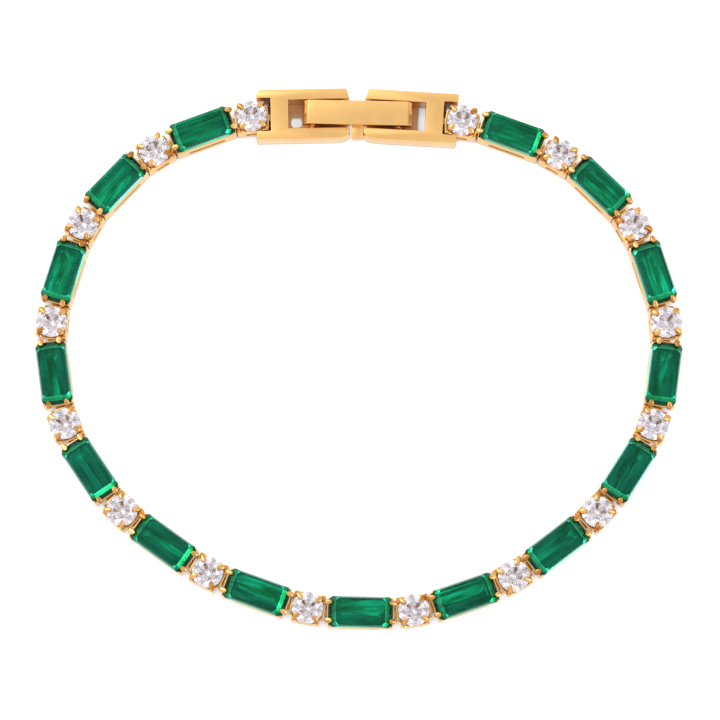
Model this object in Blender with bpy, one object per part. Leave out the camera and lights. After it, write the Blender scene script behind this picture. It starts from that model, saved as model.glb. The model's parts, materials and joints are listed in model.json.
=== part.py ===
"""Tennis bracelet of baguettes and brilliants in claw settings, with a fold-over clasp. Metres, +Z up."""

import math

import bmesh
import bpy
import numpy as np
from mathutils import Matrix, Vector

# The long green stones, cut as baguettes
BAGUETTE_COUNT = 15
BAGUETTE_LENGTH = 0.00595
BAGUETTE_WIDTH = 0.0029
BAGUETTE_CROWN = 0.00055
BAGUETTE_PAVILION = 0.0012
TABLE_END_INSET = 0.00055
TABLE_SIDE_INSET = 0.0003
KEEL_END_INSET = 0.0015

# The round clear stones, cut as brilliants
BRILLIANT_DIAMETER = 0.00295
BRILLIANT_CROWN = 0.00048
BRILLIANT_PAVILION = 0.00125
TABLE_SHARE = 0.57
BRILLIANT_SIDES = 12

GIRDLE = 0.0001
STONE_GAP = 0.0005
STONE_CLEARANCE = 0.00003
SEAT_PLAY = 0.00003

# The settings
SETTING_WIDTH = 0.00284
WALL_HEIGHT = 0.0021
WALL = 0.00025
GALLERY_HEIGHT = 0.00055
BAGUETTE_GALLERY_END = 0.0004
BRILLIANT_GALLERY_END = 0.0003
MOST_TURN = math.radians(17)
TURN_CLEARANCE = 0.00002
SLOT_HEIGHT = 0.0006
SLOT_FLOOR = 0.00045
BAGUETTE_SLOT = 0.0036
BRILLIANT_SLOT = 0.0013
CLAW_RADIUS = 0.00026
CLAW_OUTSIDE = 0.00016
CLAW_RISE = 0.00062
CLAW_ROOT = 0.0003
CLAW_SPACING = 0.0017
CLAW_SIDES = 5

# The bars and the loops that join one link to the next
BAR_RADIUS = 0.00022
BAR_INSET = 0.00062
LOOP_FOOT = 0.0001
LOOP_WALL = 0.0002
LOOP_WIDTH = 0.0006
LOOP_PLAY = 0.00009
LOOP_REACH = 0.0005
BAR_SIDES = 6

# The clasp's two frames
CLASP_WIDTH = 0.0048
CLASP_HEIGHT = 0.0024
FORK_LENGTH = 0.00135
NOTCH_PLAY = 0.000125
NOTCH_EDGE = 0.0001
CROSSBAR = 0.0017
RAIL = 0.001
RAIL_LENGTH = 0.00585
RAIL_GAP = 0.0014
RAIL_CHAMFER = 0.00022
CLASP_BEND = math.radians(4.6)
RECESS_PLAY = 0.00013
FLOOR_THICKNESS = 0.0003
FLOOR_LENGTH = 0.0017
FLOOR_HOLE = 0.001
FLOOR_HOLE_OFFSET = 0.00025

# The tongue, its hinge and its catch
TONGUE_LENGTH = 0.0103
TONGUE_WIDTH = 0.00235
TONGUE_THICKNESS = 0.001
TONGUE_PROUD = 0.00045
TONGUE_BEVEL = 0.0004
HINGE_INSET = 0.00092
HINGE_HEIGHT = 0.0015
PIN_RADIUS = 0.0003
PIN_PLAY = 0.00008
EYE_WALL = 0.0003
EYE_WIDTH = 0.0016
LATCH_INSET = 0.00105
LATCH_HEIGHT = 0.0013
JAW = 0.00035
JAW_FOOT = 0.001
TAB_WIDTH = 0.0011
TAB_THICKNESS = 0.0005
TAB_FOOT = 0.0009
TAB_DROP = 0.0005
TAB_ROUND = 0.0003
PIN_SIDES = 12

# Where the loop runs, from the clasp's left joint through the middle of each long stone to the clasp's right
# joint and its middle, as it lies
ROUTE = [
    (-0.0089, 0.0235),
    (-0.0152, 0.0222),
    (-0.0234, 0.0167),
    (-0.0280, 0.0080),
    (-0.0286, -0.0018),
    (-0.0250, -0.0107),
    (-0.0181, -0.0173),
    (-0.0092, -0.0219),
    (0.0002, -0.0236),
    (0.0100, -0.0221),
    (0.0184, -0.0173),
    (0.0253, -0.0101),
    (0.0287, -0.0009),
    (0.0278, 0.0089),
    (0.0227, 0.0174),
    (0.0140, 0.0223),
    (0.0078, 0.0235),
    (-0.0005, 0.0238),
]

# Sizes that follow from those above
baguette_pitch = BAGUETTE_LENGTH + STONE_GAP
brilliant_pitch = BRILLIANT_DIAMETER + STONE_GAP
setting_inside = SETTING_WIDTH - 2 * WALL
# Each stone's pavilion just clears the inner edges of the walls that it lies between
baguette_rise = BAGUETTE_PAVILION * (1 - setting_inside / BAGUETTE_WIDTH)
brilliant_rise = BRILLIANT_PAVILION * (1 - setting_inside / BRILLIANT_DIAMETER)
girdle_height = WALL_HEIGHT + max(baguette_rise, brilliant_rise) + GIRDLE / 2 + SEAT_PLAY
end_room = SETTING_WIDTH / 2 * math.tan(MOST_TURN / 2) + TURN_CLEARANCE
bar_height = LOOP_FOOT + LOOP_WALL + LOOP_PLAY + BAR_RADIUS
loop_top = bar_height + BAR_RADIUS + LOOP_PLAY + LOOP_WALL
loop_end = BAR_INSET + LOOP_REACH + LOOP_WALL
notch_width = BRILLIANT_DIAMETER + 2 * NOTCH_PLAY
window_width = CLASP_WIDTH - 2 * RAIL
half_clasp = NOTCH_EDGE + CROSSBAR + RAIL_LENGTH + RAIL_GAP / 2
clasp_span = 2 * half_clasp * math.cos(CLASP_BEND / 2)
tongue_top = CLASP_HEIGHT + TONGUE_PROUD
tongue_bottom = tongue_top - TONGUE_THICKNESS
tongue_side_shift = TONGUE_LENGTH / 4 * math.tan(CLASP_BEND / 2)
hinge_place = half_clasp - (TONGUE_LENGTH / 2 - HINGE_INSET) / math.cos(CLASP_BEND / 2)
latch_place = half_clasp - (TONGUE_LENGTH / 2 - LATCH_INSET) / math.cos(CLASP_BEND / 2)
BEYOND = 0.0005  # how far a cutter runs past what it cuts


def clear_scene():
    for old in list(bpy.data.objects):
        bpy.data.objects.remove(old, do_unlink=True)


def principled(name, color, roughness, metallic, transmission=0.0):
    material = bpy.data.materials.new(name)
    material.use_nodes = True
    shader = material.node_tree.nodes["Principled BSDF"]
    shader.inputs["Base Color"].default_value = (*color, 1.0)
    shader.inputs["Roughness"].default_value = roughness
    shader.inputs["Metallic"].default_value = metallic
    shader.inputs["Transmission Weight"].default_value = transmission
    material.diffuse_color = (*color, 1.0)
    return material


# Shapes: each returns a bmesh

def hull(points):
    """The convex solid round the points."""
    bm = bmesh.new()
    for point in points:
        bm.verts.new(point)
    result = bmesh.ops.convex_hull(bm, input=bm.verts)
    spare = [item for item in result["geom_interior"] if isinstance(item, bmesh.types.BMVert)]
    bmesh.ops.delete(bm, geom=spare, context="VERTS")
    bmesh.ops.dissolve_limit(bm, angle_limit=math.radians(0.5), verts=bm.verts, edges=bm.edges)
    bmesh.ops.recalc_face_normals(bm, faces=bm.faces)
    return bm


def box(low, high):
    """The box between two corners."""
    low, high = Vector(low), Vector(high)
    bm = bmesh.new()
    bmesh.ops.create_cube(bm, size=1)
    bmesh.ops.scale(bm, vec=high - low, verts=bm.verts)
    bmesh.ops.translate(bm, vec=(low + high) / 2, verts=bm.verts)
    return bm


def chamfer(bm, width, chosen):
    """Cuts the edges that chosen picks from the bmesh."""
    edges = [edge for edge in bm.edges if chosen(edge.verts[0].co, edge.verts[1].co)]
    bmesh.ops.bevel(bm, geom=edges, offset=width, segments=1, affect="EDGES", profile=0.5)
    return bm


def runs_across(a, b):
    """Whether the edge from a to b runs along Y."""
    return abs((b - a).normalized().y) > 0.99


def rod(radius, length, sides, place, axis="Y"):
    """A round rod along Y or Z with its middle at place."""
    bm = bmesh.new()
    bmesh.ops.create_cone(
        bm, cap_ends=True, segments=sides, radius1=radius, radius2=radius, depth=length
    )
    if axis == "Y":
        bmesh.ops.rotate(bm, cent=(0, 0, 0), matrix=Matrix.Rotation(math.pi / 2, 3, "X"), verts=bm.verts)
    bmesh.ops.translate(bm, vec=place, verts=bm.verts)
    return bm


# Stones

def baguette(grow=0.0):
    """A long stone with a table, a keel and its girdle at the girdle's height, larger all round by grow."""
    half_length = BAGUETTE_LENGTH / 2
    half_width = BAGUETTE_WIDTH / 2
    levels = [
        (TABLE_END_INSET, TABLE_SIDE_INSET, GIRDLE / 2 + BAGUETTE_CROWN + grow),
        (0, 0, GIRDLE / 2 + grow / 2),
        (0, 0, -GIRDLE / 2 - grow / 2),
        (KEEL_END_INSET, half_width + grow, -GIRDLE / 2 - BAGUETTE_PAVILION - grow),
    ]
    points = []
    for end_inset, side_inset, height in levels:
        x = half_length - end_inset + grow
        y = half_width - side_inset + grow
        z = girdle_height + height
        points += [(x, y, z), (x, -y, z), (-x, y, z), (-x, -y, z)]
    return hull(sorted(set(points)))


def brilliant():
    """A round stone with a table, crown and girdle facets, and a pointed pavilion."""
    radius = BRILLIANT_DIAMETER / 2
    crown_base = girdle_height + GIRDLE / 2
    rings = [
        (radius * TABLE_SHARE, crown_base + BRILLIANT_CROWN),
        (radius, crown_base),
        (radius, crown_base - GIRDLE),
    ]
    points = [(0, 0, crown_base - GIRDLE - BRILLIANT_PAVILION)]
    for ring_radius, height in rings:
        for index in range(BRILLIANT_SIDES):
            angle = 2 * math.pi * index / BRILLIANT_SIDES
            points.append((ring_radius * math.cos(angle), ring_radius * math.sin(angle), height))
    return hull(points)


# Settings, each along X with the link's middle at the origin

def link_bar(x):
    return rod(BAR_RADIUS, setting_inside + WALL, BAR_SIDES, (x, 0, bar_height))


def end_plate(pitch, side):
    """The plate between the walls that carries a loop."""
    x = side * (pitch / 2 - BAR_INSET)
    half_width = (setting_inside + WALL) / 2
    return box(
        (x - LOOP_WALL / 2, -half_width, LOOP_FOOT + LOOP_WALL / 4),
        (x + LOOP_WALL / 2, half_width, loop_top - LOOP_WALL / 4),
    )


def link_loop(pitch, side):
    """The loop that is soldered to the plate at one end and runs round the next link's bar, and its hole."""
    middle = side * pitch / 2
    near = middle - side * BAR_INSET
    far = middle + side * loop_end
    outer = box(
        (min(near, far), -LOOP_WIDTH / 2, LOOP_FOOT), (max(near, far), LOOP_WIDTH / 2, loop_top)
    )
    hole_near = near + side * LOOP_WALL
    hole_far = far - side * LOOP_WALL
    hole = box(
        (min(hole_near, hole_far), -LOOP_WIDTH, LOOP_FOOT + LOOP_WALL),
        (max(hole_near, hole_far), LOOP_WIDTH, loop_top - LOOP_WALL),
    )
    return outer, hole


def claw(x, y):
    top = girdle_height + CLAW_RISE
    foot = WALL_HEIGHT - CLAW_ROOT
    return rod(CLAW_RADIUS, top - foot, CLAW_SIDES, (x, y, (top + foot) / 2), "Z")


def setting(name, pitch, slot_length, opening, claw_places, loop_sides, last_step):
    """A link's metal as one mesh: walls, gallery, claws, bars and loops. The last step adds or seats its stone."""
    half_length = pitch / 2 - end_room
    half_width = SETTING_WIDTH / 2
    wall_block = box((-half_length, -half_width, 0), (half_length, half_width, WALL_HEIGHT))
    hollow = box(
        (-half_length - BEYOND, -setting_inside / 2, -BEYOND),
        (half_length + BEYOND, setting_inside / 2, WALL_HEIGHT - GALLERY_HEIGHT),
    )
    slot = box(
        (-slot_length / 2, -SETTING_WIDTH, SLOT_FLOOR),
        (slot_length / 2, SETTING_WIDTH, SLOT_FLOOR + SLOT_HEIGHT),
    )
    steps = [("DIFFERENCE", hollow), ("DIFFERENCE", slot), ("DIFFERENCE", opening)]
    for side in (-1, 1):
        if side in loop_sides:
            outer, hole = link_loop(pitch, side)
            steps += [("UNION", end_plate(pitch, side)), ("UNION", outer), ("DIFFERENCE", hole)]
        else:
            steps.append(("UNION", link_bar(side * (pitch / 2 - BAR_INSET))))
    steps += [("UNION", claw(x, y)) for x, y in claw_places]
    return combine(name, wall_block, [*steps, last_step])


def gallery_opening(pitch, end_width):
    """The opening under a stone, as wide as the walls leave it, with a strip of this width at each end."""
    half_length = pitch / 2 - end_room - end_width
    return box((-half_length, -setting_inside / 2, 0), (half_length, setting_inside / 2, 2 * WALL_HEIGHT))


def baguette_setting():
    x = BAGUETTE_LENGTH / 2 + CLAW_OUTSIDE - CLAW_RADIUS
    places = [(sx * x, sy * CLAW_SPACING / 2) for sx in (-1, 1) for sy in (-1, 1)]
    opening = gallery_opening(baguette_pitch, BAGUETTE_GALLERY_END)
    seat = ("DIFFERENCE", baguette(STONE_CLEARANCE))
    return setting("baguette_setting", baguette_pitch, BAGUETTE_SLOT, opening, places, [1], seat)


def brilliant_setting(name, loop_sides):
    claw_distance = BRILLIANT_DIAMETER / 2 + CLAW_OUTSIDE - CLAW_RADIUS
    reach = claw_distance * math.sqrt(0.5)
    places = [(sx * reach, sy * reach) for sx in (-1, 1) for sy in (-1, 1)]
    opening = gallery_opening(brilliant_pitch, BRILLIANT_GALLERY_END)
    # The opening's corners are cut off so that the claws stand on whole metal
    side_sum = sum(max(vert.co[axis] for vert in opening.verts) for axis in (0, 1))
    corner = side_sum - (claw_distance - CLAW_RADIUS) * math.sqrt(2)
    chamfer(opening, corner, lambda a, b: abs((b - a).normalized().z) > 0.99)
    stone = ("UNION", brilliant(), clear_stone)
    return setting(name, brilliant_pitch, BRILLIANT_SLOT, opening, places, loop_sides, stone)


# The clasp. A frame runs along X from the joint with its end link, at the origin, to the clasp's middle.

def clasp_frame(name, pin_place, pin_height, with_floor):
    half_width = CLASP_WIDTH / 2
    end = half_clasp - RAIL_GAP / 2
    window_start = NOTCH_EDGE + CROSSBAR
    frame = box((NOTCH_EDGE - FORK_LENGTH, -half_width, 0), (end, half_width, CLASP_HEIGHT))
    frame = chamfer(
        frame, RAIL_CHAMFER, lambda a, b: abs((b - a).normalized().z) > 0.99 and a.x > end - BEYOND
    )
    notch = box(
        (-2 * FORK_LENGTH, -notch_width / 2, -BEYOND), (NOTCH_EDGE, notch_width / 2, CLASP_HEIGHT + BEYOND)
    )
    window = box(
        (window_start, -window_width / 2, -BEYOND), (end + BEYOND, window_width / 2, CLASP_HEIGHT + BEYOND)
    )
    recess = box(
        (-BEYOND, -setting_inside / 2, -BEYOND),
        (loop_end + RECESS_PLAY, setting_inside / 2, loop_top + RECESS_PLAY),
    )
    end_pin = rod(BAR_RADIUS, setting_inside + WALL, BAR_SIDES, (BAR_INSET, 0, bar_height))
    cross_pin = rod(PIN_RADIUS, window_width + RAIL, PIN_SIDES, (pin_place, 0, pin_height))
    steps = [("DIFFERENCE", cutter) for cutter in (notch, window, recess)]
    steps += [("UNION", end_pin), ("UNION", cross_pin)]
    if with_floor:
        lap = RAIL / 4
        floor = box(
            (window_start - lap, -window_width / 2 - lap, FLOOR_THICKNESS / 4),
            (window_start + FLOOR_LENGTH, window_width / 2 + lap, FLOOR_THICKNESS),
        )
        hole = box(
            (window_start + FLOOR_HOLE_OFFSET, -window_width / 2 + FLOOR_HOLE_OFFSET, -BEYOND),
            (
                window_start + FLOOR_HOLE_OFFSET + FLOOR_HOLE,
                -window_width / 2 + FLOOR_HOLE_OFFSET + FLOOR_HOLE,
                FLOOR_THICKNESS + BEYOND,
            ),
        )
        steps += [("UNION", floor), ("DIFFERENCE", hole)]
    return combine(name, frame, steps)


def clasp_tongue(name):
    """The tongue along X, with its hinge's axis at the origin."""
    left = -HINGE_INSET
    right = left + TONGUE_LENGTH
    top = tongue_top - HINGE_HEIGHT
    bottom = tongue_bottom - HINGE_HEIGHT
    half_width = TONGUE_WIDTH / 2
    slab = box((left, -half_width, bottom), (right, half_width, top))
    slab = chamfer(slab, TONGUE_BEVEL, lambda a, b: runs_across(a, b) and a.z > top - BEYOND / 2)
    eye = rod(PIN_RADIUS + PIN_PLAY + EYE_WALL, EYE_WIDTH, PIN_SIDES, (0, 0, 0))
    bore = rod(PIN_RADIUS + PIN_PLAY, 2 * TONGUE_WIDTH, PIN_SIDES, (0, 0, 0))

    latch = right - LATCH_INSET
    tilt = EYE_WIDTH / 2 * math.tan(CLASP_BEND / 2)
    mouth = PIN_RADIUS + PIN_PLAY + tilt
    jaws = box(
        (latch - mouth - JAW, -EYE_WIDTH / 2, JAW_FOOT - HINGE_HEIGHT),
        (latch + mouth + JAW, EYE_WIDTH / 2, bottom + TONGUE_THICKNESS / 4),
    )
    throat = box(
        (latch - mouth, -EYE_WIDTH, JAW_FOOT - HINGE_HEIGHT - BEYOND),
        (latch + mouth, EYE_WIDTH, LATCH_HEIGHT + PIN_RADIUS + PIN_PLAY - HINGE_HEIGHT),
    )

    middle = left + TONGUE_LENGTH / 2
    front = tongue_side_shift - CLASP_WIDTH / 2
    tab_top = top - TAB_DROP
    tab_leg = box(
        (middle - TAB_WIDTH / 2, front, TAB_FOOT - HINGE_HEIGHT),
        (middle + TAB_WIDTH / 2, front + TAB_THICKNESS, tab_top),
    )
    foot = TAB_FOOT - HINGE_HEIGHT + BEYOND / 2
    tab_leg = chamfer(tab_leg, TAB_ROUND, lambda a, b: runs_across(a, b) and a.z < foot)
    tab_arm = box(
        (middle - TAB_WIDTH / 2, front + TAB_THICKNESS / 2, tab_top - TAB_THICKNESS),
        (middle + TAB_WIDTH / 2, -half_width + TAB_THICKNESS / 2, tab_top),
    )
    steps = [("UNION", eye), ("UNION", jaws), ("UNION", tab_arm), ("UNION", tab_leg)]
    steps += [("DIFFERENCE", bore), ("DIFFERENCE", throat)]
    return combine(name, slab, steps)


# Building

def combine(name, base, steps):
    """Runs the Boolean steps on the base, all of gold but for a step with its own material, as one mesh."""
    def helper(label, bm, material=gold_metal):
        mesh = plain_mesh(label, bm, material)
        obj = bpy.data.objects.new(label, mesh)
        cutters.objects.link(obj)
        obj.display_type = "WIRE"
        obj.hide_render = True
        return obj

    body = helper(name + "_blank", base)
    tools = []
    for number, (operation, *shape) in enumerate(steps):
        tool = helper(f"{name}_tool_{number:02d}", *shape)
        modifier = body.modifiers.new(tool.name, "BOOLEAN")
        modifier.operation = operation
        modifier.material_mode = "TRANSFER"
        modifier.object = tool
        tools.append(tool)
    bpy.context.view_layer.update()
    finished = body.evaluated_get(bpy.context.evaluated_depsgraph_get())
    mesh = bpy.data.meshes.new_from_object(finished)
    mesh.name = name
    bm = bmesh.new()
    bm.from_mesh(mesh)
    bmesh.ops.dissolve_limit(bm, angle_limit=math.radians(0.1), verts=bm.verts, edges=bm.edges)
    bm.to_mesh(mesh)
    bm.free()
    for helper_object in [body, *tools]:
        bpy.data.objects.remove(helper_object, do_unlink=True)
    return mesh


def plain_mesh(name, bm, material):
    mesh = bpy.data.meshes.new(name)
    bm.to_mesh(mesh)
    bm.free()
    mesh.materials.append(material)
    return mesh


def place(name, mesh, position, heading):
    """One named part of the bracelet, turned about Z to its heading."""
    obj = bpy.data.objects.new(name, mesh)
    parts.objects.link(obj)
    obj.parent = bracelet
    obj.location = position
    obj.rotation_euler.z = heading
    return obj


def smooth_loop(points, steps=60):
    """A closed centripetal Catmull-Rom curve through the points, with this many steps between each two."""
    points = np.array(points)
    share = np.arange(steps)[:, None] / steps
    stretches = []
    for index in range(len(points)):
        p0, p1, p2, p3 = np.roll(points, 1 - index, axis=0)[:4]
        t0 = 0.0
        t1 = t0 + math.sqrt(math.dist(p0, p1))
        t2 = t1 + math.sqrt(math.dist(p1, p2))
        t3 = t2 + math.sqrt(math.dist(p2, p3))
        t = t1 + (t2 - t1) * share
        a1 = ((t1 - t) * p0 + (t - t0) * p1) / (t1 - t0)
        a2 = ((t2 - t) * p1 + (t - t1) * p2) / (t2 - t1)
        a3 = ((t3 - t) * p2 + (t - t2) * p3) / (t3 - t2)
        b1 = ((t2 - t) * a1 + (t - t0) * a2) / (t2 - t0)
        b2 = ((t3 - t) * a2 + (t - t1) * a3) / (t3 - t1)
        stretches.append(((t2 - t) * b1 + (t - t1) * b2) / (t2 - t1))
    return np.vstack(stretches)


def walk(loop, lengths):
    """The points met on the loop by going these straight distances, and how many of its steps that takes."""
    rounds = np.vstack([loop] * 8)
    joints = [rounds[0]]
    index = 0
    for length in lengths:
        while np.linalg.norm(rounds[index + 1] - joints[-1]) < length:
            index += 1
        run = rounds[index + 1] - rounds[index]
        offset = rounds[index] - joints[-1]
        half = offset @ run
        share = (math.sqrt(half**2 - (run @ run) * (offset @ offset - length**2)) - half) / (run @ run)
        joints.append(rounds[index] + share * run)
    return np.array(joints), index + share


def lay_chain():
    """The joints of the closed chain from the clasp's left end, with ROUTE scaled until the chain just closes."""
    lengths = [brilliant_pitch, baguette_pitch] * BAGUETTE_COUNT + [brilliant_pitch, clasp_span]
    route = smooth_loop(ROUTE)
    small, large = 0.2, 5.0
    for _ in range(50):
        scale = (small + large) / 2
        joints, steps = walk(route * scale, lengths)
        if steps > len(route):
            small = scale
        else:
            large = scale

    # The clasp is turned to lie along X, with its middle at the origin
    left, right = joints[0], joints[-2]
    turn = math.atan2(right[1] - left[1], right[0] - left[0])
    turned = np.array([[math.cos(turn), -math.sin(turn)], [math.sin(turn), math.cos(turn)]])
    return (joints[:-1] - (left + right) / 2) @ turned


def add_links(joints, meshes):
    """The round links and the settings with their long stones, numbered from the clasp's left end."""
    for piece, (start, end) in enumerate(zip(joints[:-1], joints[1:])):
        position = (*(start + end) / 2, 0)
        heading = math.atan2(*(end - start)[::-1])
        number = piece // 2 + 1
        if piece % 2:
            place(f"setting_{number:02d}", meshes["setting"], position, heading)
            place(f"baguette_{number:02d}", meshes["baguette"], position, heading)
        else:
            mesh = meshes["first_link"] if number == 1 else meshes["round_link"]
            place(f"brilliant_link_{number:02d}", mesh, position, heading)


def add_clasp(joints):
    left, right = joints[0], joints[-1]
    bend = CLASP_BEND / 2
    left_frame = clasp_frame("clasp_left", hinge_place, HINGE_HEIGHT, with_floor=True)
    right_frame = clasp_frame("clasp_right", latch_place, LATCH_HEIGHT, with_floor=False)
    place("clasp_frame_left", left_frame, (*left, 0), bend)
    place("clasp_frame_right", right_frame, (*right, 0), math.pi - bend)
    peak = half_clasp * math.sin(bend)
    hinge = (HINGE_INSET - TONGUE_LENGTH / 2, peak - tongue_side_shift, HINGE_HEIGHT)
    place("clasp_tongue", clasp_tongue("tongue"), hinge, 0)


def centre_on_floor():
    """Moves the bracelet so that its box stands on the origin by the middle of its underside."""
    bpy.context.view_layer.update()
    corners = [
        obj.matrix_world @ vertex.co for obj in parts.objects if obj.type == "MESH" for vertex in obj.data.vertices
    ]
    low = [min(corner[axis] for corner in corners) for axis in range(3)]
    high = [max(corner[axis] for corner in corners) for axis in range(3)]
    bracelet.location = (-(low[0] + high[0]) / 2, -(low[1] + high[1]) / 2, -low[2])


clear_scene()
parts = bpy.data.collections.new("tennis_bracelet")
cutters = bpy.data.collections.new("cutters")
for collection in (parts, cutters):
    bpy.context.scene.collection.children.link(collection)
bracelet = bpy.data.objects.new("bracelet", None)
parts.objects.link(bracelet)

gold_metal = principled("gold", (0.83, 0.53, 0.2), 0.25, 1.0)
green_stone = principled("green_stone", (0.0, 0.25, 0.11), 0.03, 0.0, 0.6)
clear_stone = principled("clear_stone", (0.93, 0.92, 0.97), 0.03, 0.0, 0.6)

link_meshes = {
    "baguette": plain_mesh("baguette", baguette(), green_stone),
    "setting": baguette_setting(),
    "first_link": brilliant_setting("first_brilliant_link", [-1, 1]),
    "round_link": brilliant_setting("brilliant_link", [1]),
}
chain = lay_chain()
add_links(chain, link_meshes)
add_clasp(chain)
centre_on_floor()
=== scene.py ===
import json
import math

import bmesh
import bpy
from mathutils import Matrix, Vector


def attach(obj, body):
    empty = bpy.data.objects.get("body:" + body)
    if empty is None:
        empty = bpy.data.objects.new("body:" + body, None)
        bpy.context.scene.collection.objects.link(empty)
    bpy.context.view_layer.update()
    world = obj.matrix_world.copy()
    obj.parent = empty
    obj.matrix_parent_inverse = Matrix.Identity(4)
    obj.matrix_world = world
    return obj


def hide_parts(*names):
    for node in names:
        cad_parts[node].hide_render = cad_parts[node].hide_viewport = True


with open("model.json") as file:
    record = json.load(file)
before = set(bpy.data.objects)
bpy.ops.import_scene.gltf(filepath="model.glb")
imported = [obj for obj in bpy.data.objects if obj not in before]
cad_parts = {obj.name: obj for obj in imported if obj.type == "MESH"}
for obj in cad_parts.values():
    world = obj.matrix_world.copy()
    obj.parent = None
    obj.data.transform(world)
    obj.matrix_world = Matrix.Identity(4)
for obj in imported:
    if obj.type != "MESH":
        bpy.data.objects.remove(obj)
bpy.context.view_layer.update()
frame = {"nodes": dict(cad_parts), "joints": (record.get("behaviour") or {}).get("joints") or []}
mm = 0.001
tiny = 1e-6            # metres: points nearer than this are taken as one
sameLevel = 0.01 * mm  # corners nearer in height than this are on one level
print("frame loaded:", len(frame["nodes"]), "nodes")


# Shader helpers

def addNode(tree, kind, x, y, **settings):
    node = tree.nodes.new(kind)
    node.location = (x, y)
    for name, value in settings.items():
        setattr(node, name, value)
    return node


def addMapRange(tree, x, y, fromRange, toRange=(0.0, 1.0), **settings):
    node = addNode(tree, "ShaderNodeMapRange", x, y, **settings)
    node.inputs["From Min"].default_value, node.inputs["From Max"].default_value = fromRange
    node.inputs["To Min"].default_value, node.inputs["To Max"].default_value = toRange
    return node


def addSocket(tree, name, way, kind, value=None):
    socket = tree.interface.new_socket(name=name, in_out=way, socket_type=kind)
    if value is not None:
        socket.default_value = value
    return socket


grainLook = {
    "detail": 4.0,
    "patchDetail": 2.0,
    "patchScale": 0.12,           # share of the marks' own scale
    "patchRange": (0.35, 0.7),
}


# Fine marks in a surface, stretched along an axis, as a height, and a mask of broader patches
def makeGrainGroup():
    tree = bpy.data.node_groups.new("fineGrain", "ShaderNodeTree")
    addSocket(tree, "Stretch", "INPUT", "NodeSocketVector", (1.0, 1.0, 1.0))
    addSocket(tree, "Scale", "INPUT", "NodeSocketFloat", 4000.0)
    addSocket(tree, "Softness", "INPUT", "NodeSocketFloat", 0.5)
    addSocket(tree, "Height", "OUTPUT", "NodeSocketFloat")
    addSocket(tree, "Mask", "OUTPUT", "NodeSocketFloat")
    inlet = addNode(tree, "NodeGroupInput", -800, 0)
    coordinates = addNode(tree, "ShaderNodeTexCoord", -800, -200)
    stretch = addNode(tree, "ShaderNodeVectorMath", -600, 0, operation="MULTIPLY")
    grain = addNode(tree, "ShaderNodeTexNoise", -400, 0)
    patches = addNode(tree, "ShaderNodeTexNoise", -400, -250)
    patchScale = addNode(tree, "ShaderNodeMath", -600, -250, operation="MULTIPLY")
    patchScale.inputs[1].default_value = grainLook["patchScale"]
    grain.inputs["Detail"].default_value = grainLook["detail"]
    patches.inputs["Detail"].default_value = grainLook["patchDetail"]
    mask = addMapRange(tree, -200, -250, grainLook["patchRange"])
    outlet = addNode(tree, "NodeGroupOutput", 0, 0)
    link = tree.links.new
    link(coordinates.outputs["Object"], stretch.inputs[0])
    link(inlet.outputs["Stretch"], stretch.inputs[1])
    link(stretch.outputs[0], grain.inputs["Vector"])
    link(inlet.outputs["Scale"], grain.inputs["Scale"])
    link(inlet.outputs["Softness"], grain.inputs["Roughness"])
    link(coordinates.outputs["Object"], patches.inputs["Vector"])
    link(inlet.outputs["Scale"], patchScale.inputs[0])
    link(patchScale.outputs[0], patches.inputs["Scale"])
    link(patches.outputs["Fac"], mask.inputs["Value"])
    link(grain.outputs["Fac"], outlet.inputs["Height"])
    link(mask.outputs["Result"], outlet.inputs["Mask"])
    return tree


cloudLook = {
    "detail": 3.0,
    "distortion": 1.2,
    "range": (0.33, 0.56),
}


# Cloudy bands, mixed between two colours
def makeCloudGroup():
    tree = bpy.data.node_groups.new("stoneClouds", "ShaderNodeTree")
    addSocket(tree, "Deep", "INPUT", "NodeSocketColor", (0.0, 0.2, 0.1, 1.0))
    addSocket(tree, "Light", "INPUT", "NodeSocketColor", (0.0, 0.5, 0.25, 1.0))
    addSocket(tree, "Scale", "INPUT", "NodeSocketFloat", 300.0)
    addSocket(tree, "Place", "INPUT", "NodeSocketVector")
    addSocket(tree, "Color", "OUTPUT", "NodeSocketColor")
    inlet = addNode(tree, "NodeGroupInput", -800, 0)
    clouds = addNode(tree, "ShaderNodeTexNoise", -550, -100)
    clouds.inputs["Detail"].default_value = cloudLook["detail"]
    clouds.inputs["Distortion"].default_value = cloudLook["distortion"]
    spread = addMapRange(tree, -350, -100, cloudLook["range"])
    mixed = addNode(tree, "ShaderNodeMix", -150, 0, data_type="RGBA")
    outlet = addNode(tree, "NodeGroupOutput", 50, 0)
    link = tree.links.new
    link(inlet.outputs["Place"], clouds.inputs["Vector"])
    link(inlet.outputs["Scale"], clouds.inputs["Scale"])
    link(clouds.outputs["Fac"], spread.inputs["Value"])
    link(spread.outputs["Result"], mixed.inputs["Factor"])
    link(inlet.outputs["Deep"], mixed.inputs["A"])
    link(inlet.outputs["Light"], mixed.inputs["B"])
    link(mixed.outputs["Result"], outlet.inputs["Color"])
    return tree


grainGroup = makeGrainGroup()
cloudGroup = makeCloudGroup()

goldMarkDepth = 0.02 * mm

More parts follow.
